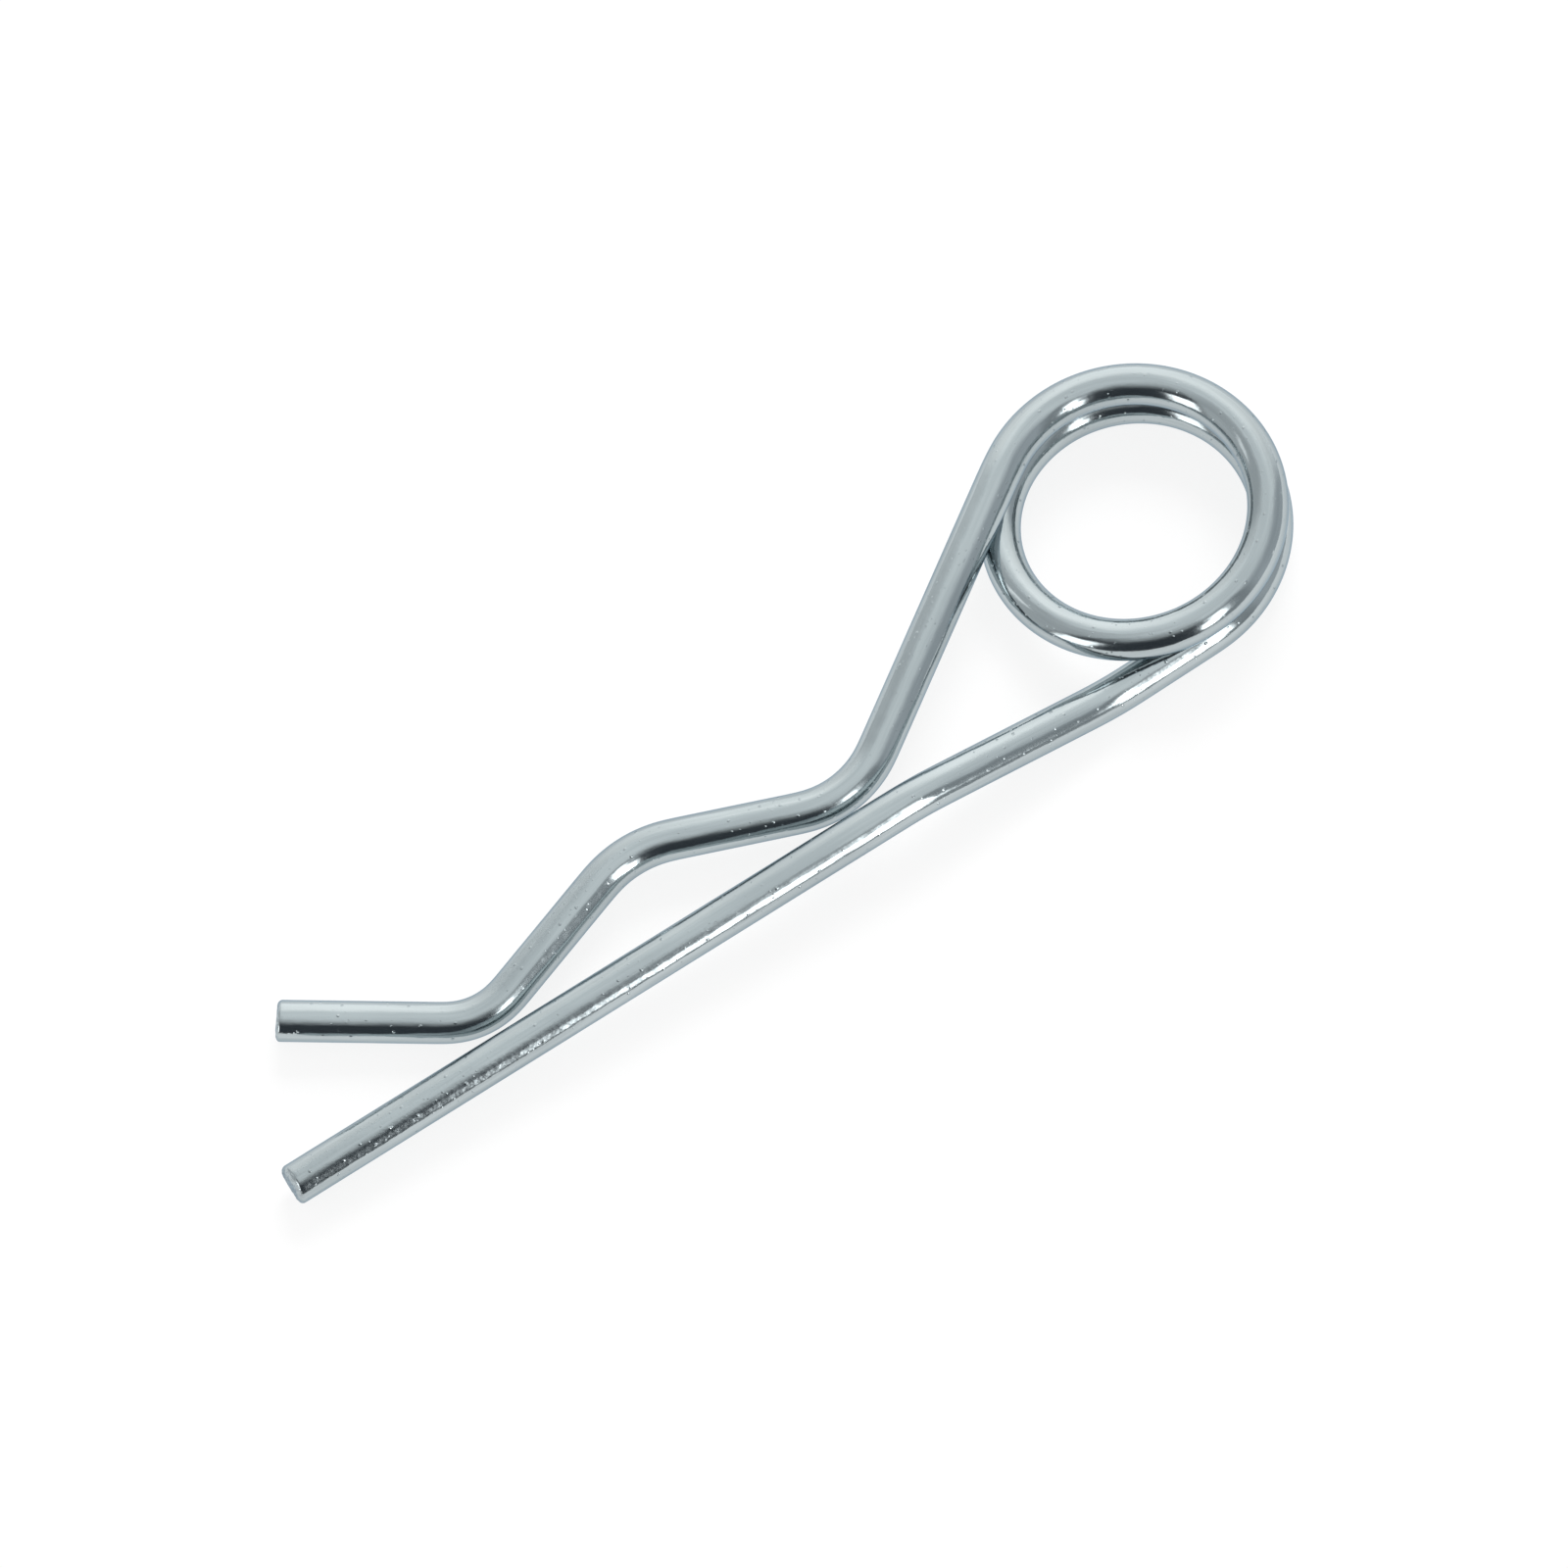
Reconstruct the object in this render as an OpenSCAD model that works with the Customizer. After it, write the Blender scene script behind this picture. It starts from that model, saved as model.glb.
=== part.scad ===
// R clip: a hitch pin clip bent from one round wire.
// It is drawn in the frame of its coil, then laid down as it comes to rest on a surface.
// Origin: on that surface, under the middle of the clip. +X runs from the tip of the straight
// leg to the coil, +Y from the straight leg to the wavy leg, +Z up. Millimetres and degrees.

/* [Wire] */
// Wire diameter
wire_d = 4; // [3:0.1:5]
// Rounding of the sheared end of the straight leg
pin_end_r = 0.7; // [0.2:0.1:1.2]
// Rounding of the cropped end of the wavy leg
free_end_r = 0.4; // [0.2:0.1:1.2]

/* [Coil] */
// Clear diameter of the eye
coil_id = 22; // [18:0.5:28]
// Clear gap between one turn and the next
turn_gap = 0.1; // [0.05:0.05:0.5]

/* [Straight leg] */
// Straight run from the coil to the joggle
foot_len = 8.8; // [5:0.1:14]
// Slope of the joggle, which lifts the leg to the level of the wavy one
joggle_slope = 10.7; // [7:0.1:13]
// Straight run on that slope
joggle_len = 17.3; // [12:0.1:22]
// Inside radius of the two joggle bends
joggle_r = 18; // [10:0.5:25]
// Straight run from the joggle to the tip, which goes through the pin's cross hole
pin_len = 68; // [60:0.1:80]
// Fall of that run towards its tip
pin_drop = 0.3; // [0:0.1:2]

/* [Wavy leg] */
// Clear gap between the legs at the near neck
neck_gap = 0.9; // [0.8:0.05:3]
// Where the wavy leg passes the straight one: 0 beside it, 90 above it, less than 0 lower
neck_side = -12; // [-20:1:60]
// From the middle of the coil to the near neck
near_neck = 38.8; // [36:0.1:43]
// Inside radius of the near neck
near_neck_r = 8.2; // [5:0.1:10]
// From the near neck to the top of the hump that seats on the shaft
hump_run = 19.4; // [17:0.1:22]
// Height of the hump above the necks
hump_rise = 5.8; // [4:0.1:8]
// Inside radius of the hump
hump_r = 9.7; // [6:0.1:12]
// From the near neck to the far neck
neck_run = 38.6; // [36:0.1:42]
// How much farther the far neck stands off the straight leg
far_neck_rise = 0.3; // [0:0.1:2]
// Inside radius of the far neck
far_neck_r = 5.6; // [3:0.1:8]
// Slope at which the free end flares away from the straight leg
flare = 33.4; // [25:0.1:50]
// Straight length of the flared end
flare_len = 16; // [8:0.1:22]

/* [Hidden] */
$fn = 96;

// Arcs that make up the coil, and the radius of the small bend that sets the wavy leg's slope
coil_arcs = 16;
set_r = 15;
// A bend is drawn this much thinner than the straight before and after it, and reaches into
// them by the lap, so that the two join along a clean ring
bend_thin = 0.02;
lap = 0.05;

wire_r = wire_d / 2;
coil_r = (coil_id + wire_d) / 2;
pitch = wire_d + turn_gap;
joggle_cr = joggle_r + wire_r;
near_cr = near_neck_r + wire_r;
far_cr = far_neck_r + wire_r;
hump_cr = hump_r + wire_r;

function unit(v) = v / norm(v);
function total(v, i = 0) = i == len(v) ? 0 : v[i] + total(v, i + 1);

// The coil is a chain of flat arcs, each tipped to the helix's lead. The numbers of one arc:
// [step about the axis, lead, half its own angle, its own radius, rise]
function coil_arc(sweep) =
    let (step = sweep / coil_arcs,
         lead = asin(pitch * step / 360 / (2 * coil_r * sin(step / 2))),
         half = atan(tan(step / 2) * cos(lead)),
         r = coil_r / (1 - cos(half) * pow(sin(lead), 2)))
    [step, lead, half, r, 2 * r * sin(half) * sin(lead)];
// Where two arcs meet: distance from the axis, and the slope there
function node_r(a) = a[3] * cos(a[2]) * pow(cos(a[1]), 2) / cos(a[0] / 2);
function node_lead(a) = asin(cos(a[2]) * sin(a[1]));

// A flat path is a list of moves, [length] for a straight and [radius, turn] for a bend.
// Its stations are [x, y, heading], one before each move and one at the end.
function after(s, m) =
    len(m) == 1
        ? [s.x + m[0] * cos(s.z), s.y + m[0] * sin(s.z), s.z]
        : let (k = m[0] * sign(m[1]))
          [s.x + k * (sin(s.z + m[1]) - sin(s.z)), s.y - k * (cos(s.z + m[1]) - cos(s.z)), s.z + m[1]];
function stations(s, moves, i = 0) =
    i == len(moves) ? [s] : concat([s], stations(after(s, moves[i]), moves, i + 1));

// Straight leg, in the upright plane through the coil's lower end: x outwards, y up
function straight_moves(a) = [
    [foot_len],
    [joggle_cr, joggle_slope + node_lead(a)],
    [joggle_len],
    [joggle_cr, -joggle_slope - pin_drop],
    [pin_len]];
pin_dir = [-cos(pin_drop), 0, -sin(pin_drop)];
// Centre line of the wavy leg's necks, a clear gap away from the straight leg
function pin_foot(a) = let (s = stations([0, 0, -node_lead(a)], straight_moves(a))[4]) [-s.x, 0, s.y];
function neck_line(a) =
    let (f = pin_foot(a), c = wire_d + neck_gap)
    f + pin_dir * (-f.x / pin_dir.x) + c * [0, cos(neck_side), sin(neck_side)];

// Where the wavy leg leaves the coil: angle about the axis, place, and level heading
function leave_angle(sweep) = sweep - 90;
function leave_point(sweep, a) =
    let (t = leave_angle(sweep))
    [node_r(a) * cos(t), node_r(a) + node_r(a) * sin(t), coil_arcs * a[4]];
function leave_heading(sweep) = let (t = leave_angle(sweep)) [-sin(t), cos(t), 0];
// End of the set bend that takes the leg from the coil's slope to slope s
function set_point(sweep, a, s) =
    let (l = node_lead(a), k = set_r * sign(s - l))
    leave_point(sweep, a) + k * (sin(s) - sin(l)) * leave_heading(sweep) + [0, 0, k * (cos(l) - cos(s))];
// The wavy leg lies in the plane of the neck line and of its own first straight run
function wavy_normal(sweep, a, s) = unit(cross(pin_dir, set_point(sweep, a, s) - neck_line(a)));
function set_slope(sweep, a, s = 0, n = 6) =
    n == 0 ? s
    : let (w = wavy_normal(sweep, a, s))
      set_slope(sweep, a, atan(-(leave_heading(sweep) * w) / w.z), n - 1);
// In that plane: x along the pin from abeam the coil's middle, y away from it
function in_plane(v, w) = [v * pin_dir, v * cross(w, pin_dir)];
function run_dir(sweep, s) = cos(s) * leave_heading(sweep) + [0, 0, sin(s)];
// How far the first run misses the near neck's bend, for a coil of this sweep
function miss(sweep) =
    let (a = coil_arc(sweep), s = set_slope(sweep, a), w = wavy_normal(sweep, a, s),
         p = in_plane(set_point(sweep, a, s) - neck_line(a), w), h = in_plane(run_dir(sweep, s), w),
         q = [near_neck, near_cr] - p)
    (q.y * h.x - q.x * h.y) / norm(h) - near_cr;
function solve(s0, s1, f0, f1, n = 12) =
    n == 0 || abs(f1 - f0) < 1e-9 ? s1
    : let (s2 = s1 - f1 * (s1 - s0) / (f1 - f0)) solve(s1, s2, f1, miss(s2), n - 1);

sweep = solve(570, 580, miss(570), miss(580));
arc = coil_arc(sweep);
slope = set_slope(sweep, arc);
normal = wavy_normal(sweep, arc, slope);
origin = neck_line(arc);
start = in_plane(set_point(sweep, arc, slope) - origin, normal);
first = in_plane(run_dir(sweep, slope), normal);
head = atan2(first.y, first.x);

// Tangents between the bends of the wavy leg
near_c = [near_neck, near_cr];
hump_c = [near_neck + hump_run, hump_rise - hump_cr];
far_c = [near_neck + neck_run, far_neck_rise + far_cr];
up_v = hump_c - near_c;
down_v = far_c - hump_c;
up_a = atan2(up_v.y, up_v.x) + asin((near_cr + hump_cr) / norm(up_v));
down_a = atan2(down_v.y, down_v.x) - asin((hump_cr + far_cr) / norm(down_v));
up_len = sqrt(pow(norm(up_v), 2) - pow(near_cr + hump_cr, 2));
down_len = sqrt(pow(norm(down_v), 2) - pow(hump_cr + far_cr, 2));
first_len = (near_c - start) * [cos(head), sin(head)];
wavy_moves = [
    [first_len],
    [near_cr, up_a - head],
    [up_len],
    [hump_cr, down_a - up_a],
    [down_len],
    [far_cr, flare - down_a],
    [flare_len]];

// Frames of the three flat paths: [origin, x, y]
straight_frame = [[0, 0, 0], [-1, 0, 0], [0, 0, 1]];
set_frame = [leave_point(sweep, arc), leave_heading(sweep), [0, 0, 1]];
wavy_frame = [origin, pin_dir, cross(normal, pin_dir)];
function placed(f, x, y) = f[0] + x * f[1] + y * f[2];
function frame_matrix(f) =
    let (n = cross(f[1], f[2]))
    [for (i = [0:2]) [f[1][i], f[2][i], n[i], f[0][i]]];

straight_path = straight_moves(arc);
straight_st = stations([0, 0, -node_lead(arc)], straight_path);
wavy_st = stations([start.x, start.y, head], wavy_moves);

// Points along the centre line with their headings, to find how the clip lies: [point, heading]
function along(f, st, moves) = [
    for (i = [0:len(moves) - 1])
        let (n = len(moves[i]) == 1 ? 1 : ceil(abs(moves[i][1])))
        for (k = [0:n])
            let (m = len(moves[i]) == 1 ? [moves[i][0] * k / n] : [moves[i][0], moves[i][1] * k / n],
                 s = after(st[i], m))
            [placed(f, s.x, s.y), cos(s.z) * f[1] + sin(s.z) * f[2]]];
coil_line = [
    for (k = [0:2:sweep])
        [[coil_r * cos(k - 90), coil_r * (1 + sin(k - 90)), coil_arcs * arc[4] * k / sweep],
         [-sin(k - 90), cos(k - 90), 0]]];
line = concat(
    along(straight_frame, straight_st, straight_path),
    along(wavy_frame, wavy_st, wavy_moves),
    coil_line);

// It rests on the joggle's foot, the low turn's far side, and a neck or the tip of a leg
function least(v) = search(min(v), v)[0];
foot = line[least([for (q = line) q[0].z])][0];
// The point it first comes down on, turning about a line through its foot, more than so far away
function met(end, side, away) =
    let (
        c = unit(end - foot),
        u = unit(side - (side * c) * c),
        n = cross(c, u),
        w = n.z < 0 ? -n : n)
    line[least([for (q = line)
        (q[0] - foot) * u > away ? ((q[0] - foot) * w) / ((q[0] - foot) * u) : 1e3])][0];
low = met(foot - [1, 0, 0], [0, 1, 0], coil_r);
leg_point = met(low, [-1, 0, 0], coil_id);
turn_point = met(leg_point, [0, 1, 0], coil_r);
rest_z = unit(cross(foot - leg_point, turn_point - foot));
// The straight leg and its joggle set the way that X points
rest_x = unit([rest_z.z, 0, -rest_z.x]);
rest_y = cross(rest_z, rest_x);
function reach(axis, side) =
    max([for (q = line) side * (q[0] * axis) + wire_r * sqrt(max(0, 1 - pow(q[1] * axis, 2)))]);
mid_x = (reach(rest_x, 1) - reach(rest_x, -1)) / 2;
mid_y = (reach(rest_y, 1) - reach(rest_y, -1)) / 2;
low_z = reach(rest_z, -1);
rest_matrix = [
    [rest_x.x, rest_x.y, rest_x.z, -mid_x],
    [rest_y.x, rest_y.y, rest_y.z, -mid_y],
    [rest_z.x, rest_z.y, rest_z.z, low_z]];

// Wire along +X
module straight(l) {
    rotate([0, 90, 0])
        cylinder(h = l, d = wire_d);
}

// Wire from the origin along +X, bent to the left by the turn, or to the right if it is negative
module bend(r, turn) {
    over = lap / r * 180 / PI;
    mirror([0, turn < 0 ? 1 : 0, 0])
        translate([0, r, 0])
            rotate([0, 0, -90 - over])
                rotate_extrude(angle = abs(turn) + 2 * over)
                    translate([r, 0])
                        circle(d = wire_d - bend_thin);
}

// Last straight of a leg along +X, with its end rounded over
module end_straight(l, r) {
    rotate([0, 90, 0])
        rotate_extrude() {
            square([wire_r, l - r]);
            square([wire_r - r, l]);
            intersection() {
                translate([wire_r - r, l - r]) circle(r = r);
                square([wire_r, l]);
            }
        }
}

module flat_path(frame, st, moves, end_r) {
    multmatrix(frame_matrix(frame))
        for (i = [0:len(moves) - 1])
            translate([st[i].x, st[i].y, 0])
                rotate([0, 0, st[i].z])
                    if (len(moves[i]) == 2)
                        bend(moves[i][0], moves[i][1]);
                    else if (i < len(moves) - 1)
                        straight(moves[i][0]);
                    else
                        end_straight(moves[i][0], end_r);
}

// Every second arc is a little thinner and reaches into its neighbours, like the bends
module coil() {
    over = lap / arc[3] * 180 / PI;
    for (i = [0:coil_arcs - 1]) {
        thin = i % 2 == 0 ? 1 : 0;
        half = arc[2] + thin * over;
        translate([0, node_r(arc), (i + 0.5) * arc[4]])
            rotate([0, 0, (i + 0.5) * arc[0] - 90])
                translate([coil_r - arc[3], 0, 0])
                    rotate([arc[1], 0, 0])
                        rotate([0, 0, -half])
                            rotate_extrude(angle = 2 * half)
                                translate([arc[3], 0])
                                    circle(d = wire_d - thin * bend_thin);
    }
}

module set_bend() {
    multmatrix(frame_matrix(set_frame))
        rotate([0, 0, node_lead(arc)])
            bend(set_r, slope - node_lead(arc));
}

module clip() {
    color("silver")
        multmatrix(rest_matrix) {
            flat_path(straight_frame, straight_st, straight_path, pin_end_r);
            coil();
            set_bend();
            flat_path(wavy_frame, wavy_st, wavy_moves, free_end_r);
        }
}

clip();
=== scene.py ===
import math

import bpy
import numpy as np
from mathutils import Matrix, Vector


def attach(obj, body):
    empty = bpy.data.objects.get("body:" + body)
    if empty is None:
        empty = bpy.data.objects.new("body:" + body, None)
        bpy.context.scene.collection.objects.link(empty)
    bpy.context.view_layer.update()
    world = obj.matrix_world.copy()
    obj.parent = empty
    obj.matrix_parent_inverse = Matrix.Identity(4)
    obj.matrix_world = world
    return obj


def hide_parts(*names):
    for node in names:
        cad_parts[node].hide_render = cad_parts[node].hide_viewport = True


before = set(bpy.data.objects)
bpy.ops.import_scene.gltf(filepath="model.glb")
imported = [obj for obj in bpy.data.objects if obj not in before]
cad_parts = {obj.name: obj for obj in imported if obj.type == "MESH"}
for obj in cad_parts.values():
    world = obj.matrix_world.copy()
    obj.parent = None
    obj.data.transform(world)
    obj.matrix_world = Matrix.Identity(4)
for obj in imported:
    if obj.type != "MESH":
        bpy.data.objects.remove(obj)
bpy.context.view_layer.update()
mm = 0.001
print("frame loaded")


# shader maths
class Link:
    # an output socket that can be used in sums
    def __init__(self, shader, socket):
        self.shader = shader
        self.socket = socket

    def maths(self, operation, first, second=0.0):
        return self.shader.node("ShaderNodeMath", {"operation": operation}, {0: first, 1: second})

    def __add__(self, other):
        return self.maths("ADD", self, other)

    def __radd__(self, other):
        return self.maths("ADD", other, self)

    def __sub__(self, other):
        return self.maths("SUBTRACT", self, other)

    def __rsub__(self, other):
        return self.maths("SUBTRACT", other, self)

    def __mul__(self, other):
        return self.maths("MULTIPLY", self, other)

    def __rmul__(self, other):
        return self.maths("MULTIPLY", other, self)


class Shader:
    def __init__(self, tree):
        self.tree = tree
        tree.nodes.clear()

    # adds a node: its settings come first, then the values or links of its sockets
    def node(self, kind, settings=None, sockets=None, out=0):
        made = self.tree.nodes.new(kind)
        for name, value in (settings or {}).items():
            setattr(made, name, value)
        for key, value in (sockets or {}).items():
            if isinstance(value, Link):
                self.tree.links.new(value.socket, made.inputs[key])
            elif isinstance(value, tuple) and made.inputs[key].type == "RGBA":
                made.inputs[key].default_value = (*value, 1.0)
            else:
                made.inputs[key].default_value = value
        return Link(self, made.outputs[out]) if made.outputs else made

    # 0 below low, 1 above high, smooth between
    def step(self, value, low, high):
        return self.node("ShaderNodeMapRange", {"interpolation_type": "SMOOTHSTEP"},
                         {0: value, 1: low, 2: high, 3: 0.0, 4: 1.0})

    def blend(self, share, first, second):
        return self.node("ShaderNodeMix", {"data_type": "RGBA"},
                         {0: share, 6: first, 7: second}, out=2)

    def scaled(self, vector, scale):
        return self.node("ShaderNodeVectorMath", {"operation": "MULTIPLY"}, {0: vector, 1: scale})

    def part(self, vector, axis):
        return self.node("ShaderNodeSeparateXYZ", {}, {0: vector}, out=axis)

    def noise(self, vector, scale, detail, rough):
        return self.node("ShaderNodeTexNoise", {"noise_dimensions": "3D"}, {
            "Vector": self.scaled(vector, scale), "Scale": 1.0, "Detail": detail,
            "Roughness": rough})

    # beads at scattered places: 1 inside the first distance from a bead's middle, 0 past the second
    def beads(self, vector, scale, full, end):
        distance = self.node("ShaderNodeTexVoronoi", {"feature": "F1", "voronoi_dimensions": "3D"},
                             {"Vector": self.scaled(vector, scale), "Scale": 1.0})
        return 1 - self.step(distance, full, end)


def newMaterial(name):
    material = bpy.data.materials.new(name)
    material.use_nodes = True
    return material, Shader(material.node_tree)


def newMesh(name, points, faces, material):
    mesh = bpy.data.meshes.new(name)
    mesh.from_pydata([tuple(p) for p in points], [], faces)
    mesh.materials.append(material)
    mesh.polygons.foreach_set("use_smooth", [True] * len(mesh.polygons))
    piece = bpy.data.objects.new(name, mesh)
    bpy.context.scene.collection.objects.link(piece)
    return piece


# camera
view = {
    "place": (-125.875, -320.071, 940.274),       # mm
    "turn": (19.6804, 3.4558, -31.5413),          # degrees
    "lens": 241.143,
    "sensor": 36.0,
    "near": 0.05,                                 # m
    "far": 40.0,
}


def makeCamera():
    data = bpy.data.cameras.new("camera")
    data.lens = view["lens"]
    data.sensor_width = view["sensor"]
    data.clip_start = view["near"]
    data.clip_end = view["far"]
    camera = bpy.data.objects.new("camera", data)
    camera.location = [v * mm for v in view["place"]]
    camera.rotation_euler = [math.radians(v) for v in view["turn"]]
    bpy.context.scene.collection.objects.link(camera)
    bpy.context.scene.camera = camera


makeCamera()
print("camera placed")


# the wire's centre line
legPlane = (0.0, 0.9942912, -0.1067006)           # the straight leg bends about this
coilAxis = (-0.0315801, 0.1066474, 0.9937953)
setPlane = (-0.5558298, 0.8244921, -0.1061417)
wavyPlane = (0.0359483, 0.1101052, -0.9932696)    # the wavy leg bends about this
wirePath = {
    "radius": 1.995,
    "tip": (-58.612295, -13.227133, 2.633513),    # end of the straight leg
    "heading": (0.9993222, 0.003928, 0.0366028),  # from that tip towards the coil
    # ("run", length), ("bend", radius, degrees, axis) or ("coil", radius, degrees, axis, rise)
    "moves": [
        ("run", 68.0),
        ("bend", 20.0, 11.0, legPlane),
        ("run", 17.3),
        ("bend", 20.0, -13.482892, legPlane),
        ("run", 8.8),
        ("coil", 13.0, 573.787007, coilAxis, 6.543299),
        ("bend", 15.0, -10.023733, setPlane),
        ("run", 28.664294),
        ("bend", 10.2, 55.015235, wavyPlane),     # near neck
        ("run", 12.488395),
        ("bend", 11.7, -39.620955, wavyPlane),    # hump
        ("run", 13.659795),
        ("bend", 7.6, 52.403922, wavyPlane),      # far neck
        ("run", 16.0),
    ],
    "stepLength": 0.1,     # between the points that the line is worked out at
    "softening": 0.7,      # length over which a bend starts and ends
    "ringTurn": 1.6,       # most degrees of bend from ring to ring
    "ringLength": 0.6,     # most length from ring to ring
    "around": 72,
}


def turned(vector, axis, degrees):
    return Matrix.Rotation(math.radians(degrees), 3, Vector(axis)) @ vector


# walks the moves and gives points a short step apart
def walkLine():
    place = Vector(wirePath["tip"])
    heading = Vector(wirePath["heading"]).normalized()
    points = [place.copy()]
    for move in wirePath["moves"]:
        if move[0] == "run":
            count = math.ceil(move[1] / wirePath["stepLength"])
            start = place.copy()
            points += [start + heading * (move[1] * k / count) for k in range(1, count + 1)]
            place = points[-1].copy()
            continue
        kind, radius, degrees, axis = move[:4]
        rise = move[4] if kind == "coil" else 0.0
        axis = Vector(axis).normalized() * (1 if degrees > 0 else -1)
        flat = (heading - axis * heading.dot(axis)).normalized() if kind == "coil" else heading
        slope = heading.dot(axis)
        arm = -axis.cross(flat) * radius
        centre = place - arm
        count = math.ceil(math.radians(abs(degrees)) * radius / wirePath["stepLength"])
        for k in range(1, count + 1):
            share = k / count
            points.append(centre + turned(arm, axis, abs(degrees) * share) + axis * rise * share)
        place = points[-1].copy()
        heading = turned(flat, axis, abs(degrees))
        if kind == "coil":
            heading = (heading + axis * math.tan(math.asin(slope))).normalized()
    return np.array(points)


def softened(points, width):
    reach = int(4 * width / wirePath["stepLength"])
    weights = np.exp(-0.5 * (np.arange(-reach, reach + 1) * wirePath["stepLength"] / width) ** 2)
    weights /= weights.sum()
    head = points[0] + (points[0] - points[1]) * np.arange(reach, 0, -1)[:, None]
    tail = points[-1] + (points[-1] - points[-2]) * np.arange(1, reach + 1)[:, None]
    padded = np.vstack([head, points, tail])
    return np.stack([np.convolve(padded[:, axis], weights, "valid") for axis in range(3)], axis=1)


def unit(vectors):
    return vectors / np.linalg.norm(vectors, axis=-1, keepdims=True)


# rings along the line: place, heading, two sides that don't twist, and length from the tip
def wireRings():
    points = softened(walkLine(), wirePath["softening"])
    headings = unit(np.gradient(points, axis=0))
    lengths = np.concatenate([[0], np.cumsum(np.linalg.norm(np.diff(points, axis=0), axis=1))])
    turns = np.degrees(np.arccos(np.clip((headings[1:] * headings[:-1]).sum(1), -1, 1)))
    picked = [0]
    turn = 0.0
    for k in range(1, len(points)):
        turn += turns[k - 1]
        if turn > wirePath["ringTurn"] or lengths[k] - lengths[picked[-1]] > wirePath["ringLength"]:
            picked.append(k)
            turn = 0.0
    if picked[-1] != len(points) - 1:
        picked.append(len(points) - 1)
    side = np.cross(headings[0], (0.0, 0.0, 1.0))
    sides = []
    for k in range(len(points)):
        side = side - headings[k] * side.dot(headings[k])
        side = side / np.linalg.norm(side)
        sides.append(side)
    sides = np.array(sides)
    ups = np.cross(sides, headings)
    return points[picked], headings[picked], sides[picked], ups[picked], lengths[picked]


# cut ends: each was cropped by a blade, which leaves a rounded edge and a torn face
pinCut = {
    "edge": 0.56,          # rounding of the edge, mm
    "edgeChange": 0.34,    # and how much that grows or shrinks around the wire
    "edgeSide": 80,        # degrees around the wire where the rounding is largest
    "tilt": 2.0,           # degrees that the face leans
    "tiltSide": 90,        # and the side that it leans to: 90 is up
    "tear": 0.16,          # depth of the torn half of the face, mm
    "rough": 0.05,         # unevenness of the face, mm
}
freeCut = {
    "edge": 0.5,
    "edgeChange": 0.08,
    "edgeSide": 20,
    "tilt": 2.0,
    "tiltSide": 60,
    "tear": 0.1,
    "rough": 0.04,
}
cutShape = {
    "edgeRings": 9,
    "faceRings": 12,
    "tearFrom": 0.25,           # how far past the middle of the face the torn half starts, mm
    "tearWave": (0.18, 2.3),    # how much that line wanders, mm, and how often
    # waves of the uneven face: how often across and up, where each starts, and its strength
    "broad": (3.1, 2.7, 1.0, 0.4),
    "middle": (6.3, 4.1, 0.6),
    "fine": (-7.9, 9.7, 2.0, 0.4),
}


# the rings of a cut end, from the full wire to the middle of its face: for each the share of
# the radius inside the rounding, how far in it is on the rounding, and how far back
def cutProfile():
    rings = []
    for k in range(cutShape["edgeRings"] + 1):
        angle = math.pi / 2 * k / cutShape["edgeRings"]
        rings.append((1.0, 1 - math.cos(angle), 1 - math.sin(angle)))
    for k in range(1, cutShape["faceRings"]):
        rings.append((1.0 - k / cutShape["faceRings"], 1.0, 0.0))
    return rings


def unevenFace(across, high):
    acrossRate, highRate, acrossStart, highStart = cutShape["broad"]
    waves = np.sin(acrossRate * across + acrossStart) * np.sin(highRate * high + highStart)
    acrossRate, highRate, strength = cutShape["middle"]
    waves = waves + strength * np.sin(acrossRate * across + highRate * high)
    acrossRate, highRate, start, strength = cutShape["fine"]
    return waves + strength * np.sin(highRate * high + acrossRate * across + start)


# points of one cut end, ring by ring; inwards is the way from the end into the wire
def cutPoints(cut, place, inwards, side, up, angles):
    radius = wirePath["radius"]
    edge = cut["edge"] + cut["edgeChange"] * np.cos(angles - math.radians(cut["edgeSide"]))
    lean = math.radians(cut["tiltSide"])
    slope = math.tan(math.radians(cut["tilt"]))
    rings = []
    for keep, inShare, backShare in cutProfile():
        size = keep * (radius - edge) + (1 - inShare) * edge
        across, high = size * np.cos(angles), size * np.sin(angles)
        towards = across * math.cos(lean) + high * math.sin(lean)
        sideways = high * math.cos(lean) - across * math.sin(lean)
        wander, often = cutShape["tearWave"]
        torn = np.clip(towards - cutShape["tearFrom"] - wander * np.sin(often * sideways), 0, None)
        sunk = cut["tear"] * torn + cut["rough"] * (1.0 + 0.5 * unevenFace(across, high))
        back = slope * (towards + radius) + (1 - backShare) * sunk + backShare * edge
        ring = place + inwards * back[:, None] + across[:, None] * side + high[:, None] * up
        rings.append((ring, back, across, high, np.full(len(angles), 1 - backShare)))
    return rings


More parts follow.
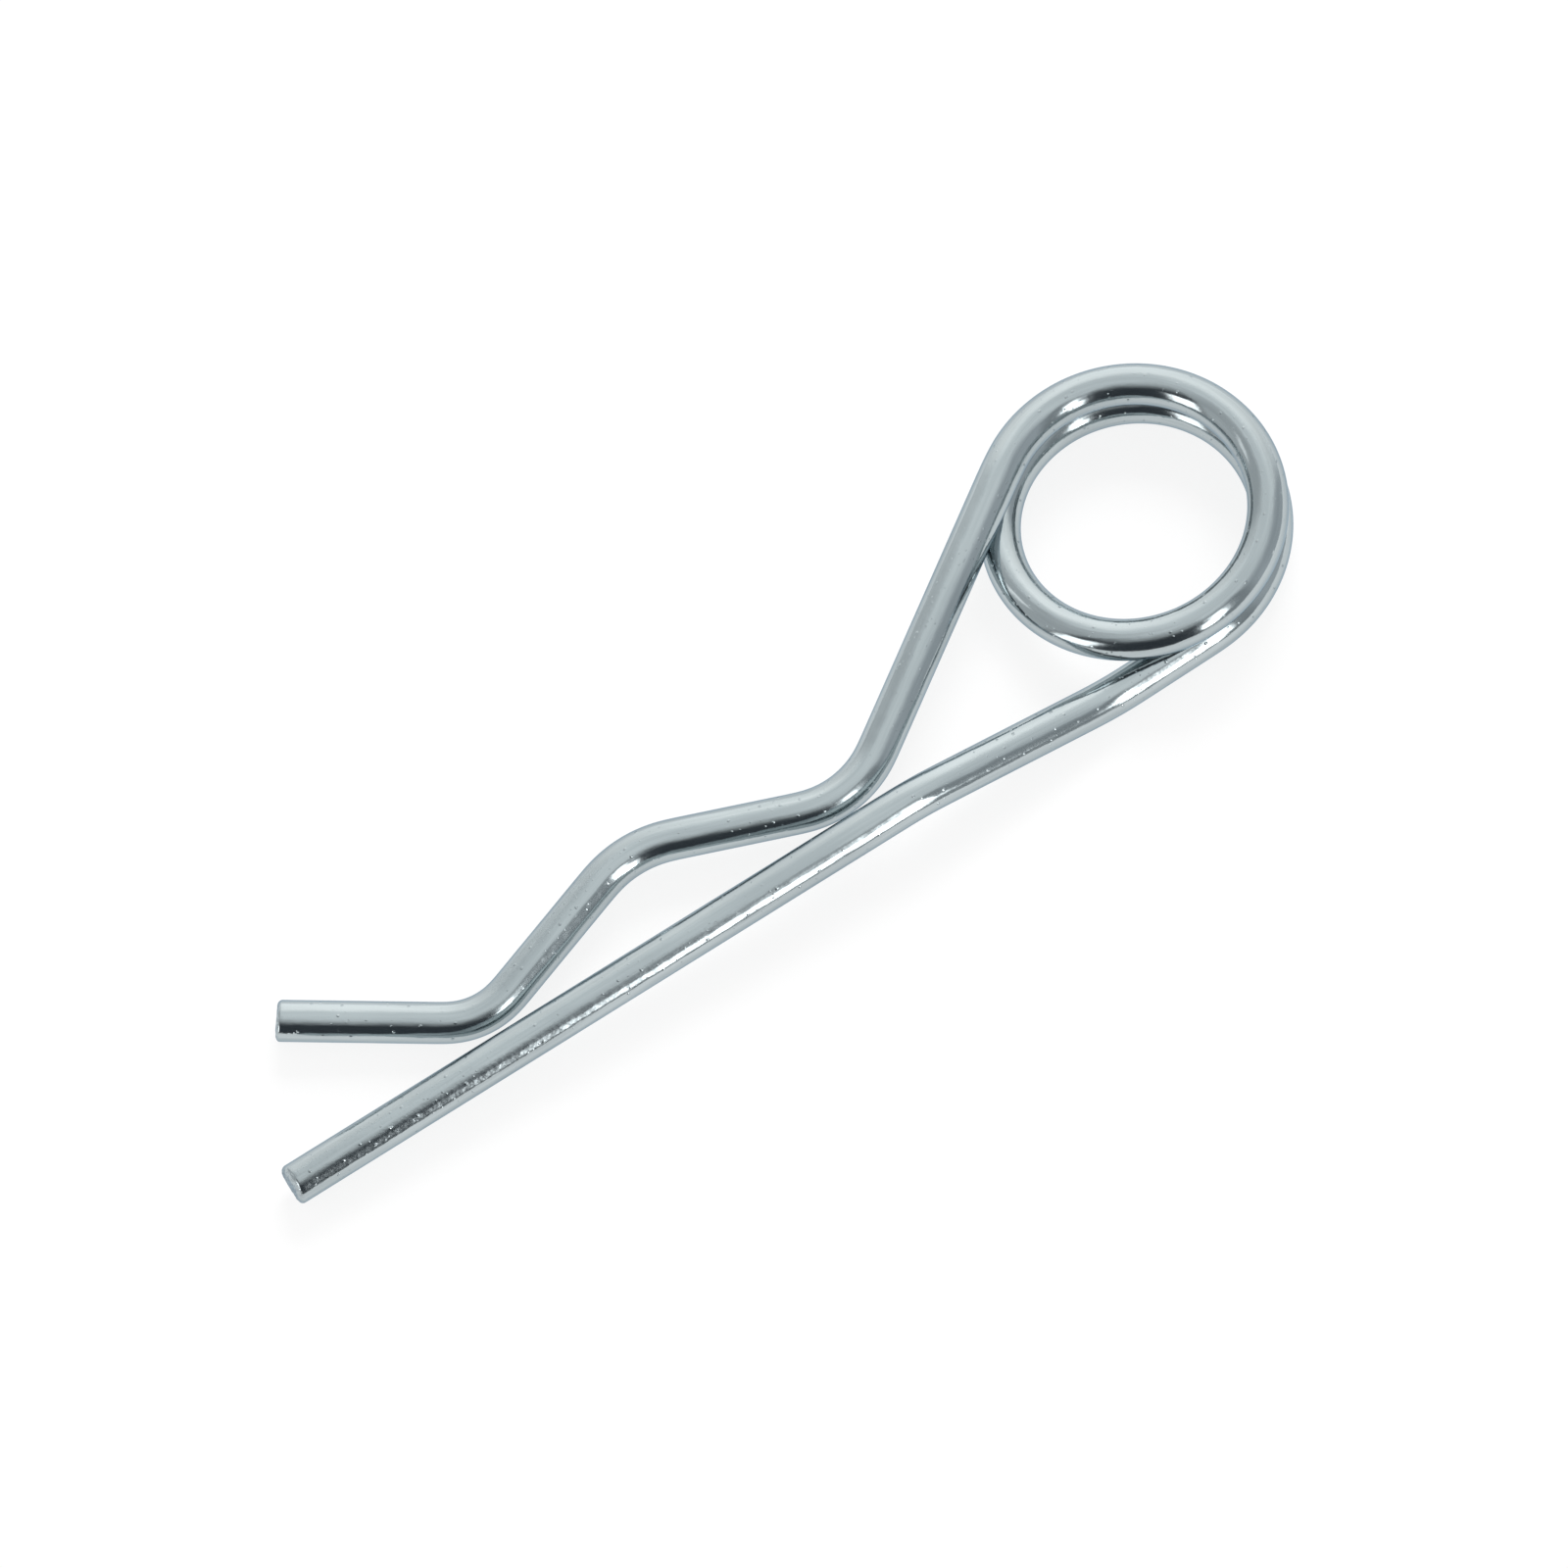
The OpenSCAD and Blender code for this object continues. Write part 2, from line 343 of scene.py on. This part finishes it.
def makeWire(material):
    places, headings, sides, ups, lengths = wireRings()
    radius, around = wirePath["radius"], wirePath["around"]
    angles = np.arange(around) * 2 * math.pi / around
    cosines, sines = np.cos(angles), np.sin(angles)
    total = lengths[-1]
    points, space, cuts = [], [], []

    def addRing(ring, along, across, high, cut):
        points.append(ring)
        space.append(np.stack([along, across, high], axis=1))
        cuts.append(cut)

    first = cutPoints(pinCut, places[0], headings[0], sides[0], ups[0], angles)
    last = cutPoints(freeCut, places[-1], -headings[-1], sides[-1], ups[-1], angles)
    for ring, back, across, high, cut in reversed(first):
        addRing(ring, back, across, high, cut)
    clear = wirePath["stepLength"]
    keep = ((lengths > first[0][1].max() + clear)
            & (lengths < total - last[0][1].max() - clear))
    for k in np.nonzero(keep)[0]:
        across, high = radius * cosines, radius * sines
        ring = places[k] + across[:, None] * sides[k] + high[:, None] * ups[k]
        addRing(ring, np.full(around, lengths[k]), across, high, np.zeros(around))
    for ring, back, across, high, cut in last:
        addRing(ring, total - back, across, high, cut)
    rows = len(points)
    middles = [points[0].mean(axis=0), points[-1].mean(axis=0)]
    points = np.vstack(points + [middles])
    space = np.vstack(space + [[[0.0, 0.0, 0.0]], [[total, 0.0, 0.0]]])
    cuts = np.concatenate(cuts + [[1.0, 1.0]])
    faces = []
    for row in range(rows - 1):
        for k in range(around):
            a, b = row * around + k, row * around + (k + 1) % around
            faces.append((a, a + around, b + around, b))
    start, end, lastRow = rows * around, rows * around + 1, (rows - 1) * around
    for k in range(around):
        faces.append((start, k, (k + 1) % around))
        faces.append((end, lastRow + (k + 1) % around, lastRow + k))
    piece = newMesh("r_clip_wire", points * mm, faces, material)
    wireSpace = piece.data.attributes.new("wireSpace", "FLOAT_VECTOR", "POINT")
    wireSpace.data.foreach_set("vector", space.ravel())
    cutFace = piece.data.attributes.new("cutFace", "FLOAT", "POINT")
    cutFace.data.foreach_set("value", cuts)
    print("wire:", len(points), "points,", len(faces), "faces,", round(total, 2), "mm long")
    return piece


# bright zinc plate
zinc = {
    "plate": (0.50, 0.555, 0.57),
    "dull": (0.425, 0.475, 0.49),
    "pit": (0.22, 0.24, 0.26),
    "paintedRimShade": (0.47, 0.56, 0.64),                     # tint of what shows at a glancing angle, set darker than the plate: painted shade on the rim, standing in for the darker surroundings mirrored there
    "roughness": 0.13,
    # noise: how fine it is along, across and up the wire, per mm, its detail and its roughness
    "drawLines": ((0.06, 1.7, 1.7), 3.0, 0.6),     # left by the drawing die
    "fineLines": ((0.35, 6.0, 6.0), 1.0, 0.5),
    "ripple": ((0.4, 1.0, 1.0), 1.0, 0.5),         # slow waves of the bent wire
    "grain": ((1.5, 2.2, 2.2), 1.6, 0.55),         # of the plating
    "clouds": ((0.06, 0.3, 0.3), 3.0, 0.5),        # duller and brighter stretches
    "patches": ((0.22, 0.45, 0.45), 1.0, 0.5),     # where the small beads are
    "torn": ((2.6, 2.6, 2.6), 3.0, 0.65),          # the cut faces
    # beads of the plating: how many per mm, and how far each is full and ends
    "nodules": ((0.75, 0.9, 0.9), 0.03, 0.16),
    "beads": ((1.3, 1.7, 1.7), 0.04, 0.17),
    "beadPatches": (0.44, 0.56),
    # depths, mm
    "drawDepth": 0.010,
    "fineDepth": 0.0016,
    "rippleDepth": 0.026,
    "grainDepth": 0.006,
    "noduleDepth": 0.035,
    "beadDepth": 0.02,
    "tornDepth": 0.065,
    "tipGrain": 1.2,                               # share that the grain is deeper at the tip
    "tipEnd": (16, 44),                            # mm from the tip where that fades out
    # colour and gloss
    "cloudShare": 0.45,                            # what dulls: this much clouds, the rest lines
    "dullEdge": (0.38, 0.62),
    "nodulePit": 0.15,
    "tornPit": 0.6,
    "tornEdge": (0.4, 0.66),
    "cloudRough": 0.1,
    "drawRough": 0.08,
    "cutRough": 0.17,
}


def makeZinc():
    material, shader = newMaterial("bright_zinc")
    wire = shader.node("ShaderNodeAttribute", {"attribute_name": "wireSpace"}, out=1)
    cut = shader.node("ShaderNodeAttribute", {"attribute_name": "cutFace"}, out=2)
    drawLines = shader.noise(wire, *zinc["drawLines"])
    fineLines = shader.noise(wire, *zinc["fineLines"])
    ripple = shader.noise(wire, *zinc["ripple"])
    grain = shader.noise(wire, *zinc["grain"])
    clouds = shader.noise(wire, *zinc["clouds"])
    patches = shader.noise(wire, *zinc["patches"])
    torn = shader.noise(wire, *zinc["torn"])
    nodules = shader.beads(wire, *zinc["nodules"])
    beads = shader.beads(wire, *zinc["beads"]) * shader.step(patches, *zinc["beadPatches"])

    tipShare = 1 - shader.step(shader.part(wire, 0), *zinc["tipEnd"])
    height = (drawLines * zinc["drawDepth"] + fineLines * zinc["fineDepth"]
              + ripple * zinc["rippleDepth"]
              + grain * (tipShare * zinc["tipGrain"] + 1) * zinc["grainDepth"]
              + nodules * zinc["noduleDepth"] + beads * zinc["beadDepth"]
              + torn * cut * zinc["tornDepth"])
    bump = shader.node("ShaderNodeBump", {}, {"Strength": 1.0, "Distance": mm, "Height": height})

    mixed = clouds * zinc["cloudShare"] + drawLines * (1 - zinc["cloudShare"])
    colour = shader.blend(shader.step(mixed, *zinc["dullEdge"]), zinc["plate"], zinc["dull"])
    colour = shader.blend(nodules * zinc["nodulePit"], colour, zinc["pit"])
    tornShare = cut * shader.step(torn, *zinc["tornEdge"]) * zinc["tornPit"]
    colour = shader.blend(tornShare, colour, zinc["pit"])
    roughness = (zinc["roughness"] + (clouds - 0.5) * zinc["cloudRough"]
                 + (drawLines - 0.5) * zinc["drawRough"] + cut * zinc["cutRough"])
    # the Specular Tint carries the painted rim shade, which darkens the glancing edges of the wire
    surface = shader.node("ShaderNodeBsdfPrincipled", {}, {
        "Metallic": 1.0, "Base Color": colour, "Roughness": roughness, "Normal": bump,
        "Specular Tint": zinc["paintedRimShade"]})
    shader.node("ShaderNodeOutputMaterial", {}, {"Surface": surface})
    return material


wire = makeWire(makeZinc())
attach(wire, "root")
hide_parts("clip")


# floor and studio
floorPlan = {
    "reach": 6.0,       # m from the middle to each side
    "squares": 12,      # along each side
    "paint": 0.85,      # what the floor gives back to the room
    "seenPaint": 0.2,   # what of that is left where the camera or the metal looks at it
    "seenGlow": 0.82,   # and the glow that makes it white there, the same for both
}
light = {
    "world": 0.7,            # what the world lights with, besides being a white background
    "lampPower": 5.0,
    "lampSize": (0.5, 0.35),
    "lampAzimuth": 50,
    "lampElevation": 42,
    "lampAway": 0.9,
}


def lightPath(shader):
    path = shader.tree.nodes.new("ShaderNodeLightPath").outputs
    camera, glossy, through = [Link(shader, path[name]) for name in
                               ("Is Camera Ray", "Is Glossy Ray", "Is Transmission Ray")]
    return camera, glossy + through


def makeFloor():
    material, shader = newMaterial("pale_floor")
    camera, mirrored = lightPath(shader)
    seen = camera + mirrored
    paint = floorPlan["paint"] - seen * (floorPlan["paint"] - floorPlan["seenPaint"])
    flat = shader.node("ShaderNodeBsdfDiffuse", {}, {"Color": paint})
    glow = shader.node("ShaderNodeEmission", {}, {
        "Color": (1.0, 1.0, 1.0), "Strength": seen * floorPlan["seenGlow"]})
    both = shader.node("ShaderNodeAddShader", {}, {0: flat, 1: glow})
    shader.node("ShaderNodeOutputMaterial", {}, {"Surface": both})
    reach, row = floorPlan["reach"], floorPlan["squares"] + 1
    spots = np.linspace(-reach, reach, row)
    points = [(x, y, 0.0) for y in spots for x in spots]
    corners = [r * row + c for r in range(row - 1) for c in range(row - 1)]
    faces = [(k, k + 1, k + row + 1, k + row) for k in corners]
    newMesh("floor", points, faces, material)


# what the metal mirrors, from the farthest card to the nearest: from and to azimuth, from and
# to elevation, brightness, tint, and how far its sides, its top and its bottom fade, in degrees
studioCards = {
    "tent": (-180, 180, -4, 90, 0.95, (0.97, 1.0, 1.01), 0, 0, 0),
    "sideRight": (-104, 14, -4, 72, 0.53, (0.94, 1.0, 1.05), 16, 38, 0),
    "sideLeft": (96, 200, -4, 92, 0.6, (0.96, 1.0, 1.02), 24, 36, 0),
    "backPanel": (-2, 118, -4, 54, 1.04, (1.0, 1.0, 0.99), 34, 24, 0),
    "backGlow": (10, 104, -4, 66, 1.4, (1.0, 1.0, 0.99), 46, 30, 0),
    "sideShade": (-94, -46, -4, 70, 0.33, (0.93, 1.0, 1.05), 14, 20, 0),
    "darkFront": (-183, -84, -4, 86, 0.05, (0.85, 1.0, 1.18), 9, 44, 0),
    "farWindow": (138, 150, 16, 46, 1.3, (1.0, 1.0, 1.0), 4, 6, 6),
    "windowTop": (-84, -69, 15, 58, 3.8, (1.0, 1.0, 1.0), 4, 13, 7),
    "windowLeft": (-88.9, -76.0, 7, 39.5, 5.0, (1.0, 1.0, 1.0), 3, 10, 4),
    "windowRight": (-177.5, -150.5, 3, 41, 2.7, (1.0, 1.0, 1.0), 6.5, 9, 4),
}
cardShape = {
    "radius": 0.95,    # m to the farthest card
    "gap": 0.01,       # from each card to the next
    "square": 2,       # degrees
    "fewest": 16,      # squares along a side
}


def fade(gap, width):
    share = min(1.0, gap / width) if width > 0 else 1.0
    return share * share * (3 - 2 * share)


def makeCard(name, order):
    fromAz, toAz, fromEl, toEl, strength, tint, *fades = studioCards[name]
    sideFade, topFade, lowFade = fades
    highest = min(toEl, 90)
    material, shader = newMaterial("card_" + name)
    share = shader.node("ShaderNodeAttribute", {"attribute_name": "inside"}, out=2)
    clear = shader.node("ShaderNodeBsdfTransparent")
    glow = shader.node("ShaderNodeEmission", {}, {"Color": tint, "Strength": strength})
    mixed = shader.node("ShaderNodeMixShader", {}, {0: share, 1: clear, 2: glow})
    shader.node("ShaderNodeOutputMaterial", {}, {"Surface": mixed})
    columns = max(cardShape["fewest"], int((toAz - fromAz) / cardShape["square"]))
    rows = max(cardShape["fewest"], int((highest - fromEl) / cardShape["square"]))
    radius = cardShape["radius"] - cardShape["gap"] * order
    points, inside = [], []
    for r in range(rows + 1):
        el = fromEl + (highest - fromEl) * r / rows
        for c in range(columns + 1):
            az = fromAz + (toAz - fromAz) * c / columns
            a, e = math.radians(az), math.radians(el)
            points.append((radius * math.cos(e) * math.cos(a),
                           radius * math.cos(e) * math.sin(a), radius * math.sin(e)))
            share = fade(min(az - fromAz, toAz - az), sideFade) * fade(toEl - el, topFade)
            inside.append(share * fade(el - fromEl, lowFade))
    faces = [(r * (columns + 1) + c, (r + 1) * (columns + 1) + c,
              (r + 1) * (columns + 1) + c + 1, r * (columns + 1) + c + 1)
             for r in range(rows) for c in range(columns)]
    card = newMesh("card_" + name, points, faces, material)
    card.data.attributes.new("inside", "FLOAT", "POINT").data.foreach_set("value", inside)
    card.visible_camera = False
    card.visible_diffuse = False
    card.visible_shadow = False


def makeLamp():
    data = bpy.data.lights.new("lamp", "AREA")
    data.shape = "RECTANGLE"
    data.size, data.size_y = light["lampSize"]
    data.energy = light["lampPower"]
    a, e = math.radians(light["lampAzimuth"]), math.radians(light["lampElevation"])
    away = Vector((math.cos(e) * math.cos(a), math.cos(e) * math.sin(a), math.sin(e)))
    lamp = bpy.data.objects.new("lamp", data)
    lamp.location = away * light["lampAway"]
    lamp.rotation_euler = away.to_track_quat("Z", "Y").to_euler()
    lamp.visible_camera = False
    lamp.visible_glossy = False
    bpy.context.scene.collection.objects.link(lamp)


def makeWorld():
    world = bpy.data.worlds.new("studio")
    world.use_nodes = True
    shader = Shader(world.node_tree)
    camera, mirrored = lightPath(shader)
    strength = light["world"] + (camera + mirrored) * (1 - light["world"])
    sky = shader.node("ShaderNodeBackground", {}, {"Color": (1.0, 1.0, 1.0), "Strength": strength})
    shader.node("ShaderNodeOutputWorld", {}, {"Surface": sky})
    bpy.context.scene.world = world


makeFloor()
for order, name in enumerate(studioCards):
    makeCard(name, order)
makeLamp()
makeWorld()
bpy.context.scene.view_settings.view_transform = "Standard"
print("floor and studio made")
